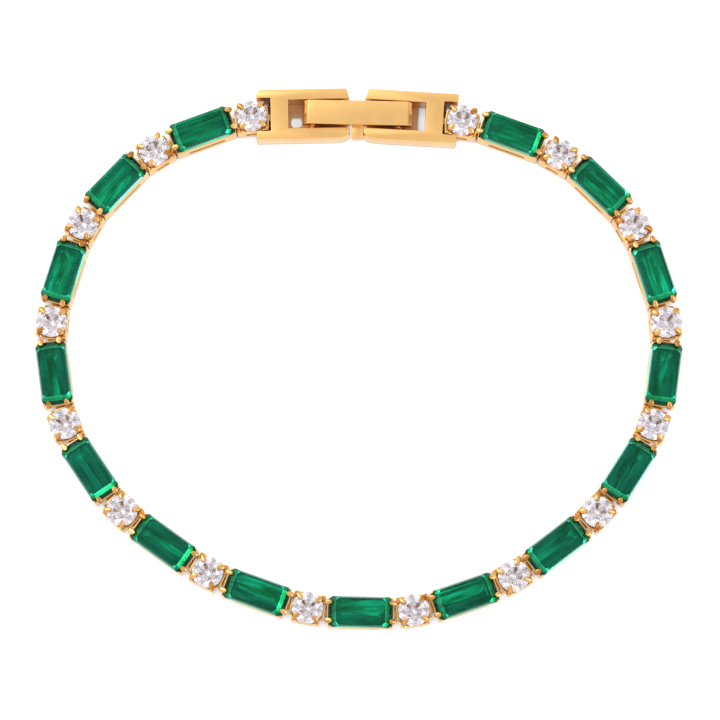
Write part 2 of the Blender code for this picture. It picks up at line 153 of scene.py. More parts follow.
goldLooks = {
    "goldPolished": {
        "deep": (0.84, 0.47, 0.15), "light": (0.93, 0.6, 0.26), "roughness": (0.1, 0.2),
        "stretch": (1.0, 1.0, 1.0), "scale": 1500.0, "bump": 0.03,
    },
    "goldBrushed": {
        "deep": (0.87, 0.54, 0.2), "light": (0.9, 0.57, 0.22), "roughness": (0.38, 0.48),
        "stretch": (0.06, 1.0, 1.0), "scale": 9000.0, "bump": 0.08,
    },
    # A darkened gold that is painted shade, for the walls of the clasp's window and fork and the window's
    # floor
    "goldShadow": {
        "deep": (0.68, 0.39, 0.19), "light": (0.8, 0.5, 0.29), "roughness": (0.3, 0.45),
        "stretch": (1.0, 1.0, 1.0), "scale": 2500.0, "bump": 0.08,
    },
    # The claws' gold, mixed at random with a deep brown that is painted shade and painted dark reflection
    "goldClaw": {
        "deep": (0.42, 0.17, 0.03), "light": (0.92, 0.56, 0.22), "roughness": (0.06, 0.16),
        "stretch": (1.0, 1.0, 1.0), "scale": 6000.0, "bump": 0.1,
    },
    # A near-black gold that is painted shade, for plates put where only shade shows: behind the seams and low
    # in the fork
    "goldCrevice": {
        "deep": (0.24, 0.09, 0.02), "light": (0.32, 0.14, 0.05), "roughness": (0.3, 0.45),
        "stretch": (1.0, 1.0, 1.0), "scale": 2500.0, "bump": 0.08,
    },
}


def makeGold(name, look):
    material = bpy.data.materials.new(name)
    material.use_nodes = True
    tree = material.node_tree
    shader = tree.nodes["Principled BSDF"]
    shader.inputs["Metallic"].default_value = 1.0
    grain = addNode(tree, "ShaderNodeGroup", -700, 0, node_tree=grainGroup)
    grain.inputs["Stretch"].default_value = look["stretch"]
    grain.inputs["Scale"].default_value = look["scale"]
    tone = addNode(tree, "ShaderNodeMix", -350, 200, data_type="RGBA")
    tone.inputs["A"].default_value = (*look["deep"], 1.0)
    tone.inputs["B"].default_value = (*look["light"], 1.0)
    gloss = addMapRange(tree, -350, -50, (0.0, 1.0), look["roughness"])
    bump = addNode(tree, "ShaderNodeBump", -350, -350)
    bump.inputs["Strength"].default_value = look["bump"]
    bump.inputs["Distance"].default_value = goldMarkDepth
    link = tree.links.new
    link(grain.outputs["Mask"], tone.inputs["Factor"])
    link(grain.outputs["Height"], gloss.inputs["Value"])
    link(grain.outputs["Height"], bump.inputs["Height"])
    link(tone.outputs["Result"], shader.inputs["Base Color"])
    link(gloss.outputs["Result"], shader.inputs["Roughness"])
    link(bump.outputs["Normal"], shader.inputs["Normal"])
    return material


stoneLooks = {
    # The green stone's clouds are a random tone drawn out into lighter streaks, which are painted reflections
    # of the step facets
    "greenStone": {
        "deep": (0.0, 0.45, 0.22), "light": (0.22, 1.0, 0.84), "scale": 1500.0, "streaks": (0.16, 1.0, 1.0),
        "ior": 1.8, "roughness": 0.02, "shine": (0.18, 0.95, 0.72),
        "inside": (0.0, 0.98, 0.91), "density": 175.0, "bump": 0.0,
        # Where the dark rim of painted shade starts on each side of the middle, and how much of it shows
        # there
        "rims": {"X": (2.22 * mm, 1.0), "Y": (1.24 * mm, 0.85)},
        "rimColor": (0.03, 0.28, 0.11), "rimBlur": 0.06 * mm,
    },
    "clearStone": {
        "deep": (0.82, 0.78, 0.89), "light": (0.96, 0.91, 0.98), "scale": 700.0, "streaks": None,
        "ior": 2.2, "roughness": 0.08, "shine": (1.0, 1.0, 1.0),
        "inside": None, "density": 0.0, "bump": 0.3, "bumpScale": 2800.0, "bumpDepth": 0.05 * mm,
    },
}


# A mask of painted shade that grows to each rim's share towards a stone's edges
def addRimShadeMask(tree, place, look):
    parts = addNode(tree, "ShaderNodeSeparateXYZ", -750, -150)
    tree.links.new(place, parts.inputs[0])
    rim = addNode(tree, "ShaderNodeMath", -250, -150, operation="MAXIMUM")
    for index, (axis, (edge, share)) in enumerate(look["rims"].items()):
        away = addNode(tree, "ShaderNodeMath", -600, -150 - 200 * index, operation="ABSOLUTE")
        near = addMapRange(tree, -430, -150 - 200 * index, (edge, edge + look["rimBlur"]), (0.0, share))
        tree.links.new(parts.outputs[axis], away.inputs[0])
        tree.links.new(away.outputs[0], near.inputs["Value"])
        tree.links.new(near.outputs["Result"], rim.inputs[index])
    return rim.outputs[0]


# Draws the clouds out along the stone, by the stone's own attribute, into lighter streaks that are painted
# reflections of the step facets over a random cloudy tone, and returns them with dark rims of painted shade
# towards the edges
def addPaintedStreaks(tree, clouds, look):
    own = addNode(tree, "ShaderNodeAttribute", -750, 100, attribute_name="ownPlace")
    stretch = addNode(tree, "ShaderNodeVectorMath", -550, 100, operation="MULTIPLY")
    stretch.inputs[1].default_value = look["streaks"]
    mixed = addNode(tree, "ShaderNodeMix", -150, 100, data_type="RGBA")
    mixed.inputs["B"].default_value = (*look["rimColor"], 1.0)
    link = tree.links.new
    link(own.outputs["Vector"], stretch.inputs[0])
    link(stretch.outputs[0], clouds.inputs["Place"])
    link(addRimShadeMask(tree, own.outputs["Vector"], look), mixed.inputs["Factor"])
    link(clouds.outputs["Color"], mixed.inputs["A"])
    return mixed.outputs["Result"]


def makeStone(name, look):
    material = bpy.data.materials.new(name)
    material.use_nodes = True
    tree = material.node_tree
    shader = tree.nodes["Principled BSDF"]
    shader.inputs["Transmission Weight"].default_value = 1.0
    shader.inputs["Roughness"].default_value = look["roughness"]
    shader.inputs["IOR"].default_value = look["ior"]
    shader.inputs["Specular Tint"].default_value = (*look["shine"], 1.0)
    clouds = addNode(tree, "ShaderNodeGroup", -350, 100, node_tree=cloudGroup)
    clouds.inputs["Deep"].default_value = (*look["deep"], 1.0)
    clouds.inputs["Light"].default_value = (*look["light"], 1.0)
    clouds.inputs["Scale"].default_value = look["scale"]
    link = tree.links.new
    if look["streaks"]:
        link(addPaintedStreaks(tree, clouds, look), shader.inputs["Base Color"])
    else:
        coordinates = addNode(tree, "ShaderNodeTexCoord", -550, 100)
        link(coordinates.outputs["Object"], clouds.inputs["Place"])
        link(clouds.outputs["Color"], shader.inputs["Base Color"])
    if look["bump"]:
        grain = addNode(tree, "ShaderNodeGroup", -600, -600, node_tree=grainGroup)
        grain.inputs["Scale"].default_value = look["bumpScale"]
        bump = addNode(tree, "ShaderNodeBump", -350, -600)
        bump.inputs["Strength"].default_value = look["bump"]
        bump.inputs["Distance"].default_value = look["bumpDepth"]
        link(grain.outputs["Height"], bump.inputs["Height"])
        link(bump.outputs["Normal"], shader.inputs["Normal"])
    if look["inside"]:
        absorption = addNode(tree, "ShaderNodeVolumeAbsorption", 0, -400)
        absorption.inputs["Color"].default_value = (*look["inside"], 1.0)
        absorption.inputs["Density"].default_value = look["density"]
        link(absorption.outputs["Volume"], tree.nodes["Material Output"].inputs["Volume"])
    return material


golds = [makeGold(name, look) for name, look in goldLooks.items()]
polished, brushed, shadowed, clawShadedGold, paintedDarkShade = range(5)
greenStone = makeStone("greenStone", stoneLooks["greenStone"])
clearStone = makeStone("clearStone", stoneLooks["clearStone"])
print("materials made")


# Mesh helpers

# A flat sheet from the first to the last line each way, cut along the lines between
def cutSheet(xs, ys):
    bm = bmesh.new()
    bmesh.ops.create_grid(bm, x_segments=1, y_segments=1, size=0.5)
    bmesh.ops.scale(bm, vec=(xs[-1] - xs[0], ys[-1] - ys[0], 1), verts=bm.verts)
    bmesh.ops.translate(bm, vec=((xs[0] + xs[-1]) / 2, (ys[0] + ys[-1]) / 2, 0), verts=bm.verts)
    for axis, lines in enumerate((xs, ys)):
        normal = Vector((axis == 0, axis == 1, 0))
        for line in lines[1:-1]:
            everything = bm.verts[:] + bm.edges[:] + bm.faces[:]
            bmesh.ops.bisect_plane(bm, geom=everything, plane_co=normal * line, plane_no=normal)
    return bm


def removeFaces(bm, chosen):
    faces = [face for face in bm.faces if chosen(face.calc_center_median())]
    bmesh.ops.delete(bm, geom=faces, context="FACES")


# Draws faces out by an offset and returns the new ones
def extrude(bm, faces, offset):
    grown = bmesh.ops.extrude_face_region(bm, geom=faces)["geom"]
    verts = [item for item in grown if isinstance(item, bmesh.types.BMVert)]
    bmesh.ops.translate(bm, vec=offset, verts=verts)
    return [item for item in grown if isinstance(item, bmesh.types.BMFace)]


# Draws one face out from ring to ring. A ring is its middle along X, its height, half length and half width
def drawOut(bm, face, rings):
    x, height, halfLength, halfWidth = rings[0]
    for newX, newHeight, newLength, newWidth in rings[1:]:
        grown = bmesh.ops.extrude_face_region(bm, geom=[face])["geom"]
        verts = [item for item in grown if isinstance(item, bmesh.types.BMVert)]
        face = [item for item in grown if isinstance(item, bmesh.types.BMFace)][0]
        ratio = Matrix.Diagonal((newLength / halfLength, newWidth / halfWidth, 1, 1))
        move = Matrix.Translation((newX, 0, newHeight)) @ ratio @ Matrix.Translation((-x, 0, -height))
        bmesh.ops.transform(bm, matrix=move, verts=verts)
        x, height, halfLength, halfWidth = newX, newHeight, newLength, newWidth


def bevelEdges(bm, edges, width, segments):
    bmesh.ops.bevel(bm, geom=edges, offset=width, segments=segments, affect="EDGES", profile=0.5, material=-1,
                    clamp_overlap=True)


# Rounds the edges where two faces meet at more than this angle
def roundEdges(bm, width, segments=2, angle=math.radians(35)):
    bevelEdges(bm, [edge for edge in bm.edges if edge.calc_face_angle(0) > angle], width, segments)


def sameSpot(a, b):
    return (a - b).length < tiny


# Whether a face is level and looks up, or down where way is -1
def isLevel(face, way=1):
    return way * face.normal.z > 0.95


# The edges that stand upright over chosen places
def uprights(bm, chosen):
    found = []
    for edge in bm.edges:
        a, b = (vert.co for vert in edge.verts)
        if sameSpot(a.xy, b.xy) and chosen(a):
            found.append(edge)
    return found


# The edges that run along Y through chosen places
def crossEdges(bm, chosen):
    found = []
    for edge in bm.edges:
        a, b = (vert.co for vert in edge.verts)
        if sameSpot(a.xz, b.xz) and chosen(a):
            found.append(edge)
    return found


def block(low, high, rounding=0.0, segments=2):
    low, high = Vector(low), Vector(high)
    bm = bmesh.new()
    bmesh.ops.create_cube(bm, size=1)
    bmesh.ops.scale(bm, vec=high - low, verts=bm.verts)
    bmesh.ops.translate(bm, vec=(low + high) / 2, verts=bm.verts)
    if rounding:
        bevelEdges(bm, bm.edges[:], rounding, segments)
    return bm


# A round bar along Y with its middle at place
def bar(radius, length, sides, place):
    bm = bmesh.new()
    turn = Matrix.Translation(place) @ Matrix.Rotation(math.pi / 2, 4, "X")
    bmesh.ops.create_cone(
        bm, cap_ends=True, segments=sides, radius1=radius, radius2=radius, depth=length, matrix=turn
    )
    return bm


# A plate that stands along X with a slot through it. dip lowers its top towards the middle
def slottedPlate(size, dip=0.0):
    half = size["length"] / 2
    slotHalf = size["slotLength"] / 2
    xs = [-half, -slotHalf, slotHalf, half]
    if dip:
        dipHalf, steps = size["dipHalf"], size["dipSteps"]
        xs = sorted(xs + [dipHalf * step / steps for step in range(-steps, steps + 1)])
    bm = cutSheet(xs, [0, size["slotLow"], size["slotHigh"], size["height"]])
    removeFaces(bm, lambda c: abs(c.x) < slotHalf and size["slotLow"] < c.y < size["slotHigh"])
    if dip:
        for vert in bm.verts:
            if vert.co.y > size["height"] - tiny:
                vert.co.y -= dip * max(0.0, 1 - (vert.co.x / dipHalf) ** 2)
    extrude(bm, bm.faces[:], (0, 0, size["thickness"]))
    bmesh.ops.recalc_face_normals(bm, faces=bm.faces)
    corners = uprights(bm, lambda p: abs(abs(p.x) - slotHalf) < tiny
                       and size["slotLow"] - tiny < p.y < size["slotHigh"] + tiny)
    bevelEdges(bm, corners, size["slotRound"], segments=3)
    if size.get("outerRound"):
        ends = uprights(bm, lambda p: abs(abs(p.x) - half) < tiny)
        bevelEdges(bm, ends, size["outerRound"], segments=4)
    roundEdges(bm, size["edge"])
    stand = Matrix.Translation((0, size["thickness"] / 2, 0)) @ Matrix.Rotation(math.pi / 2, 4, "X")
    bm.transform(stand)
    return bm


# Adds one bmesh to another at a place, with all its faces of one material
def joinTo(target, part, place=Matrix(), material=None):
    copy = part.copy()
    copy.transform(place)
    if material is not None:
        for face in copy.faces:
            face.material_index = material
    spare = bpy.data.meshes.new("spare")
    copy.to_mesh(spare)
    target.from_mesh(spare)
    copy.free()
    bpy.data.meshes.remove(spare)


sharpAngle = math.radians(32)


# Makes a bmesh an object with its place in its mesh and its materials, ties it to its body, and hides the
# frame's nodes that it stands for
def addPiece(name, bm, materials, place, body, nodes, smooth=True):
    mesh = bpy.data.meshes.new(name)
    bm.to_mesh(mesh)
    mesh.transform(place)
    for material in materials:
        mesh.materials.append(material)
    if smooth:
        mesh.shade_smooth()
        mesh.set_sharp_from_angle(angle=sharpAngle)
    piece = bpy.data.objects.new(name, mesh)
    bpy.context.scene.collection.objects.link(piece)
    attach(piece, body)
    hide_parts(*nodes)
    return piece


# Where the links lie, read from the frame

def nodeCorners(node):
    found = {tuple(round(value, 6) for value in vertex.co) for vertex in frame["nodes"][node].data.vertices}
    return [Vector(corner) for corner in sorted(found)]


def middleOf(points):
    return sum(points, Vector()) / len(points)


def placeAt(middle, direction):
    turn = Matrix.Rotation(math.atan2(direction.y, direction.x), 4, "Z")
    return Matrix.Translation((middle.x, middle.y, 0)) @ turn


chain = {
    "longLinks": 15,
    "stoneGap": 0.5 * mm,
    "longStone": 5.95 * mm,
    "roundStone": 2.95 * mm,
}
longPitch = chain["longStone"] + chain["stoneGap"]
roundPitch = chain["roundStone"] + chain["stoneGap"]

roundMiddles = []
for number in range(1, chain["longLinks"] + 2):
    corners = nodeCorners(f"brilliant_link_{number:02d}")
    roundMiddles.append(middleOf([corner for corner in corners if corner.z < sameLevel]))

longPlaces, longStarts, longEnds = [], [], []
for number in range(1, chain["longLinks"] + 1):
    corners = nodeCorners(f"baguette_{number:02d}")
    tableHeight = max(corner.z for corner in corners)
    table = [corner for corner in corners if corner.z > tableHeight - sameLevel]
    first = table[0]
    longSide = sorted(table[1:], key=lambda corner: (corner - first).length)[1] - first
    onward = roundMiddles[number] - roundMiddles[number - 1]
    direction = longSide.normalized() * math.copysign(1, longSide.dot(onward))
    middle = middleOf(table)
    longPlaces.append(placeAt(middle, direction))
    longStarts.append(middle - direction * longPitch / 2)
    longEnds.append(middle + direction * longPitch / 2)

roundPlaces, roundDirections = [], []
for index, middle in enumerate(roundMiddles):
    if index < chain["longLinks"]:
        direction = longStarts[index] - middle
    else:
        direction = middle - longEnds[index - 1]
    direction.z = 0
    roundDirections.append(direction.normalized())
    roundPlaces.append(placeAt(middle, direction))

stoneLevels = sorted({round(corner.z, 5) for corner in nodeCorners("baguette_01")})
girdleLow, girdleTop, tableHeight = stoneLevels[1], stoneLevels[2], stoneLevels[-1]
print("links placed, girdle at", girdleTop)


# Long stones

longCut = {
    "length": 5.95 * mm,
    "width": 2.9 * mm,
    "cornerCut": 0.28 * mm,
    "tableEndInset": 0.7 * mm,
    "tableSideInset": 0.2 * mm,
    "crownStep": (0.45, 0.5),     # share of the inset and of the crown's height at the step
    # How steep each step of the pavilion is in degrees, and the share of the half width where it ends
    "pavilionSteps": [(54, 0.06), (47, 0.15), (43, 0.28), (41, 0.45), (39, 0.68), (36, 0.985)],
    "keelEndInset": 1.2 * mm,
    "patternStep": 4.7 * mm,      # how far the clouds move on from stone to stone
}


def longStone(cut):
    halfLength, halfWidth = cut["length"] / 2, cut["width"] / 2
    insetShare, heightShare = cut["crownStep"]
    crown = tableHeight - girdleTop
    rings = [
        (0, tableHeight, halfLength - cut["tableEndInset"], halfWidth - cut["tableSideInset"]),
        (0, girdleTop + crown * heightShare, halfLength - cut["tableEndInset"] * insetShare,
         halfWidth - cut["tableSideInset"] * insetShare),
        (0, girdleTop, halfLength, halfWidth),
        (0, girdleLow, halfLength, halfWidth),
    ]
    height, lastShare = girdleLow, 0.0
    for slope, share in cut["pavilionSteps"]:
        height -= (share - lastShare) * halfWidth * math.tan(math.radians(slope))
        rings.append((0, height, halfLength - cut["keelEndInset"] * share, halfWidth * (1 - share)))
        lastShare = share
    bm = bmesh.new()
    bmesh.ops.create_grid(bm, x_segments=1, y_segments=1, size=1)
    bmesh.ops.scale(bm, vec=(rings[0][2], rings[0][3], 1), verts=bm.verts)
    bmesh.ops.translate(bm, vec=(0, 0, rings[0][1]), verts=bm.verts)
    bmesh.ops.bevel(bm, geom=bm.verts[:], offset=cut["cornerCut"], segments=1, affect="VERTICES",
                    profile=0.5, material=-1)
    bm.faces.ensure_lookup_table()
    drawOut(bm, bm.faces[0], rings)
    bmesh.ops.recalc_face_normals(bm, faces=bm.faces)
    return bm


longStoneShape = longStone(longCut)
ownPlace = longStoneShape.verts.layers.float_vector.new("ownPlace")
for number, place in enumerate(longPlaces, 1):
    for vert in longStoneShape.verts:
        vert[ownPlace] = vert.co + Vector((0, 0, number * longCut["patternStep"]))
    addPiece(f"longStone_{number:02d}", longStoneShape, [greenStone], place, "bracelet",
             [f"baguette_{number:02d}"], smooth=False)
print("long stones cut:", len(longPlaces))


# Round stones

roundCut = {
    "diameter": 2.95 * mm,
    "crown": 0.48 * mm,
    "pavilion": 1.25 * mm,
    "girdle": 0.07 * mm,
    "tableShare": 0.56,
    "starShare": 0.8,
    "lowerShare": 0.3,
    "facets": 8,
    "flatAngle": math.radians(0.4),    # faces nearer to flat than this are one facet
}


# A brilliant cut, wrapped round rings of points: table, stars, kites and upper halves, the girdle, and under
# it the lower halves and mains
def roundStone(cut):
    radius = cut["diameter"] / 2
    step = math.pi / cut["facets"]
    crownSlope = (cut["starShare"] * math.cos(step) - cut["tableShare"]) / (1 - cut["tableShare"])
    lowerDepth = cut["pavilion"] * (1 - cut["lowerShare"] * math.cos(step))
    girdleFoot = girdleTop - cut["girdle"]
    rings = [
        (cut["tableShare"], cut["facets"], 0, girdleTop + cut["crown"]),
        (cut["starShare"], cut["facets"], step, girdleTop + cut["crown"] * (1 - crownSlope)),
        (1, 2 * cut["facets"], 0, girdleTop),
        (1, 2 * cut["facets"], 0, girdleFoot),
        (cut["lowerShare"], cut["facets"], step, girdleFoot - lowerDepth),
    ]
    bm = bmesh.new()
    for share, count, turn, height in rings:
        spot = Matrix.Translation((0, 0, height)) @ Matrix.Rotation(turn, 4, "Z")
        bmesh.ops.create_circle(bm, segments=count, radius=radius * share, matrix=spot)
    bm.verts.new((0, 0, girdleFoot - cut["pavilion"]))
    bmesh.ops.convex_hull(bm, input=bm.verts)
    bmesh.ops.delete(bm, geom=[edge for edge in bm.edges if not edge.link_faces], context="EDGES")
    bmesh.ops.dissolve_limit(bm, angle_limit=cut["flatAngle"], verts=bm.verts, edges=bm.edges)
    bmesh.ops.recalc_face_normals(bm, faces=bm.faces)
    return bm


roundStoneShape = roundStone(roundCut)
for number, place in enumerate(roundPlaces, 1):
    addPiece(f"roundStone_{number:02d}", roundStoneShape, [clearStone], place, "bracelet",
             [f"brilliant_link_{number:02d}"], smooth=False)
print("round stones cut:", len(roundPlaces))


# The links' metal

linkMetal = {
    "width": 2.84 * mm,
    "wall": 0.25 * mm,
    "wallHeight": 2.1 * mm,
    "endRoom": 0.232 * mm,
    "edge": 0.045 * mm,
    "wallEdge": 0.055 * mm,
    "endBulge": 0.13 * mm,
    "endSteps": 12,
    "rim": 0.06 * mm,
    "rimLow": 1.97 * mm,
    "rimHigh": 2.36 * mm,
    "outerShortening": 0.18 * mm,    # how much shorter a round link's wall is on the loop's outer side
    "outerOpening": 0.35 * mm,       # how much of a round link's end is open on that side
    "slotLow": 0.45 * mm,
    "slotHigh": 1.05 * mm,
    "slotRound": 0.22 * mm,
    "longSlot": 3.6 * mm,
    "roundSlot": 1.3 * mm,
    "galleryLow": 1.58 * mm,
    "galleryHigh": 2.06 * mm,
    "galleryEnd": 0.4 * mm,
    "roundDip": 0.34 * mm,
    "dipHalf": 0.95 * mm,
    "dipSteps": 5,
}

joint = {
    "barRadius": 0.22 * mm,
    "barInset": 0.62 * mm,
    "barHeight": 0.61 * mm,
    "barSides": 14,
    "wire": 0.2 * mm,
    "width": 0.6 * mm,
    "low": 0.1 * mm,
    "high": 1.12 * mm,
    "reach": 0.7 * mm,
    "rounding": 0.3 * mm,
    "slotRound": 0.25 * mm,
    "edge": 0.05 * mm,
    "earInner": 0.85 * mm,
    "earOuter": 1.07 * mm,
    "earBack": 0.3 * mm,
    "earReach": 0.2 * mm,
    "earLow": 0.35 * mm,
    "earHigh": 1.5 * mm,
}

# Each line of stations, in mm: how far out from the stone's edge, height, half thickness and half width
claw = {
    "sides": 12,
    "longStations": [
        (0.05, 1.70, 0.15, 0.17),
        (0.10, 2.20, 0.14, 0.20),
        (0.14, 2.50, 0.16, 0.23),
        (0.12, 2.68, 0.24, 0.255),
        (0.06, 2.82, 0.34, 0.27),
        (0.03, 2.94, 0.37, 0.26),
        (0.02, 3.02, 0.34, 0.22),
        (0.01, 3.05, 0.29, 0.17),
    ],
    "roundStations": [
        (-0.04, 1.70, 0.15, 0.17),
        (0.02, 2.20, 0.12, 0.20),
        (0.05, 2.50, 0.12, 0.23),
        (0.00, 2.68, 0.19, 0.255),
        (-0.08, 2.82, 0.33, 0.26),
        (-0.13, 2.94, 0.39, 0.25),
        (-0.15, 3.02, 0.35, 0.21),
        (-0.16, 3.05, 0.30, 0.16),
    ],
    "longSpacing": 1.7 * mm,
    "slopeFrom": 2.6 * mm,       # above this height a claw's top falls outwards by its slope
    "slope": 0.22,
}


def clawShape(stations):
    rings = [tuple(value * mm for value in station) for station in stations]
    bm = bmesh.new()
    x, height, halfLength, halfWidth = rings[0]
    bmesh.ops.create_circle(bm, cap_ends=True, segments=claw["sides"], radius=1)
    start = Matrix.Translation((x, 0, height)) @ Matrix.Diagonal((halfLength, halfWidth, 1, 1))
    bmesh.ops.transform(bm, matrix=start, verts=bm.verts)
    bm.faces.ensure_lookup_table()
    drawOut(bm, bm.faces[0], rings)
    inner, top = rings[-1][0] - rings[-1][2], rings[-1][1]
    for vert in bm.verts:
        share = max(0.0, (vert.co.z - claw["slopeFrom"]) / (top - claw["slopeFrom"]))
        vert.co.z -= claw["slope"] * share * max(0.0, vert.co.x - inner)
    bmesh.ops.recalc_face_normals(bm, faces=bm.faces)
    return bm


def linkLoop(pitch, side):
    near = pitch / 2 - joint["barInset"]
    far = pitch / 2 + joint["reach"]
    size = {
        "length": far - near, "height": joint["high"] - joint["low"], "thickness": joint["width"],
        "slotLength": far - near - 2 * joint["wire"], "slotLow": joint["wire"],
        "slotHigh": joint["high"] - joint["low"] - joint["wire"],
        "slotRound": joint["slotRound"], "outerRound": joint["rounding"], "edge": joint["edge"],
    }
    bm = slottedPlate(size)
    bm.transform(Matrix.Translation((side * (near + far) / 2, 0, joint["low"])))
    return bm


# The end wall of a setting, with its outer face bulging a little towards the next link
def endWall(side, halfLength, depth, low, high, outerOpening=0.0):
    across = linkMetal["width"] / 2 - linkMetal["wall"] / 2
    first = -across + (outerOpening if side > 0 else 0)
    last = across - (outerOpening if side < 0 else 0)
    steps = linkMetal["endSteps"]
    ys = [first + (last - first) * step / steps for step in range(steps + 1)]
    bm = cutSheet([halfLength - depth, halfLength], ys)
    for vert in bm.verts:
        if vert.co.x > halfLength - tiny:
            vert.co.x += linkMetal["endBulge"] * (1 - (vert.co.y / across) ** 2)
    bmesh.ops.translate(bm, vec=(0, 0, low), verts=bm.verts)
    extrude(bm, bm.faces[:], (0, 0, high - low))
    bmesh.ops.recalc_face_normals(bm, faces=bm.faces)
    roundEdges(bm, linkMetal["edge"])
    if side < 0:
        bm.transform(Matrix.Rotation(math.pi, 4, "Z"))
    return bm


# A small plate of painted shade behind the seam to the next link, on the loop's inner side, so that the seam
# shows dark
def seamEar(pitch, side):
    start = pitch / 2 - linkMetal["endRoom"] - joint["earBack"]
    xs = sorted((side * start, side * (pitch / 2 + joint["earReach"])))
    return block((xs[0], joint["earInner"], joint["earLow"]), (xs[1], joint["earOuter"], joint["earHigh"]),
                 joint["edge"])


# A link's two side walls, and at each end a loop on its cross plate or a bar for the next link's loop
def linkBody(pitch, slotLength, dip, loopSides, outerShortening=0.0):
    halfLength = pitch / 2 - linkMetal["endRoom"]
    inside = linkMetal["width"] / 2 - linkMetal["wall"]
    wallSize = {
        **linkMetal, "height": linkMetal["wallHeight"], "thickness": linkMetal["wall"],
        "slotLength": slotLength, "edge": linkMetal["wallEdge"],
    }
    bm = bmesh.new()
    for side in (-1, 1):
        wallSize["length"] = 2 * (halfLength - (outerShortening if side < 0 else 0))
        wallShape = slottedPlate(wallSize, dip)
        joinTo(bm, wallShape, Matrix.Translation((0, side * (inside + linkMetal["wall"] / 2), 0)), polished)
        x = side * (pitch / 2 - joint["barInset"])
        if side in loopSides:
            wire, edge = joint["wire"] / 2, joint["edge"]
            crossPlate = block((x - wire, -inside - edge, joint["low"] + edge),
                               (x + wire, inside + edge, joint["high"] - edge), edge)
            joinTo(bm, crossPlate, material=polished)
            joinTo(bm, linkLoop(pitch, side), material=polished)
            joinTo(bm, seamEar(pitch, side), material=paintedDarkShade)
        else:
            barShape = bar(joint["barRadius"], 2 * inside + linkMetal["wall"], joint["barSides"],
                           (x, 0, joint["barHeight"]))
            joinTo(bm, barShape, material=polished)
    return bm


def longMetal():
    bm = linkBody(longPitch, linkMetal["longSlot"], 0.0, [1])
    halfLength = longPitch / 2 - linkMetal["endRoom"]
    clawForm = clawShape(claw["longStations"])
    for side in (-1, 1):
        strip = endWall(side, halfLength, linkMetal["galleryEnd"], linkMetal["galleryLow"],
                        linkMetal["galleryHigh"])
        joinTo(bm, strip, material=polished)
        rim = endWall(side, halfLength, linkMetal["rim"], linkMetal["rimLow"], linkMetal["rimHigh"])
        joinTo(bm, rim, material=polished)
        for across in (-1, 1):
            spot = Vector((side * chain["longStone"] / 2, across * claw["longSpacing"] / 2, 0))
            turn = Matrix.Rotation(0 if side > 0 else math.pi, 4, "Z")
            joinTo(bm, clawForm, Matrix.Translation(spot) @ turn, clawShadedGold)
    return bm


gallery = {
    "innerRadius": 1.15 * mm,
    "outerRadius": 1.4 * mm,
    "low": 1.62 * mm,
    "high": 2.04 * mm,
    "segments": 40,
    "edge": 0.04 * mm,
}


# The ring under a round stone: a small rectangle spun round
def galleryRing(size):
    bm = bmesh.new()
    bmesh.ops.create_grid(bm, x_segments=1, y_segments=1, size=0.5)
    width, height = size["outerRadius"] - size["innerRadius"], size["high"] - size["low"]
    middle = ((size["innerRadius"] + size["outerRadius"]) / 2, 0, (size["low"] + size["high"]) / 2)
    stand = Matrix.Rotation(math.pi / 2, 4, "X") @ Matrix.Diagonal((width, height, 1, 1))
    bmesh.ops.transform(bm, matrix=Matrix.Translation(middle) @ stand, verts=bm.verts)
    bmesh.ops.bevel(bm, geom=bm.verts[:], offset=size["edge"], segments=2, affect="VERTICES", profile=0.5,
                    material=-1)
    bmesh.ops.spin(bm, geom=bm.verts[:] + bm.edges[:], cent=(0, 0, 0), axis=(0, 0, 1), angle=2 * math.pi,
                   steps=size["segments"], use_merge=True)
    # The rectangle itself stays inside the ring and goes
    profile = [face for face in bm.faces if abs(face.normal.y) > 0.999 and len(face.verts) > 4]
    bmesh.ops.delete(bm, geom=profile, context="FACES_ONLY")
    bmesh.ops.recalc_face_normals(bm, faces=bm.faces)
    return bm


def roundMetal(loopSides):
    bm = linkBody(roundPitch, linkMetal["roundSlot"], linkMetal["roundDip"], loopSides,
                  linkMetal["outerShortening"])
    halfLength = roundPitch / 2 - linkMetal["endRoom"]
    joinTo(bm, galleryRing(gallery), material=polished)
    clawForm = clawShape(claw["roundStations"])
    for side in (-1, 1):
        wallShape = endWall(side, halfLength, linkMetal["wall"], gallery["low"], gallery["high"],
                            linkMetal["outerOpening"])
        joinTo(bm, wallShape, material=polished)
    for quarter in range(4):
        turn = Matrix.Rotation(math.radians(45 + 90 * quarter), 4, "Z")
        joinTo(bm, clawForm, turn @ Matrix.Translation((chain["roundStone"] / 2, 0, 0)), clawShadedGold)
    return bm


longMetalShape = longMetal()
for number, place in enumerate(longPlaces, 1):
    addPiece(f"longSetting_{number:02d}", longMetalShape, golds, place, "bracelet",
             [f"setting_{number:02d}"])

roundMetalShape = roundMetal([1])
firstMetalShape = roundMetal([-1, 1])
for number, place in enumerate(roundPlaces, 1):
    shape = firstMetalShape if number == 1 else roundMetalShape
    addPiece(f"roundSetting_{number:02d}", shape, golds, place, "bracelet",
             [f"brilliant_link_{number:02d}"])
print("settings made:", len(longPlaces) + len(roundPlaces))


# The clasp

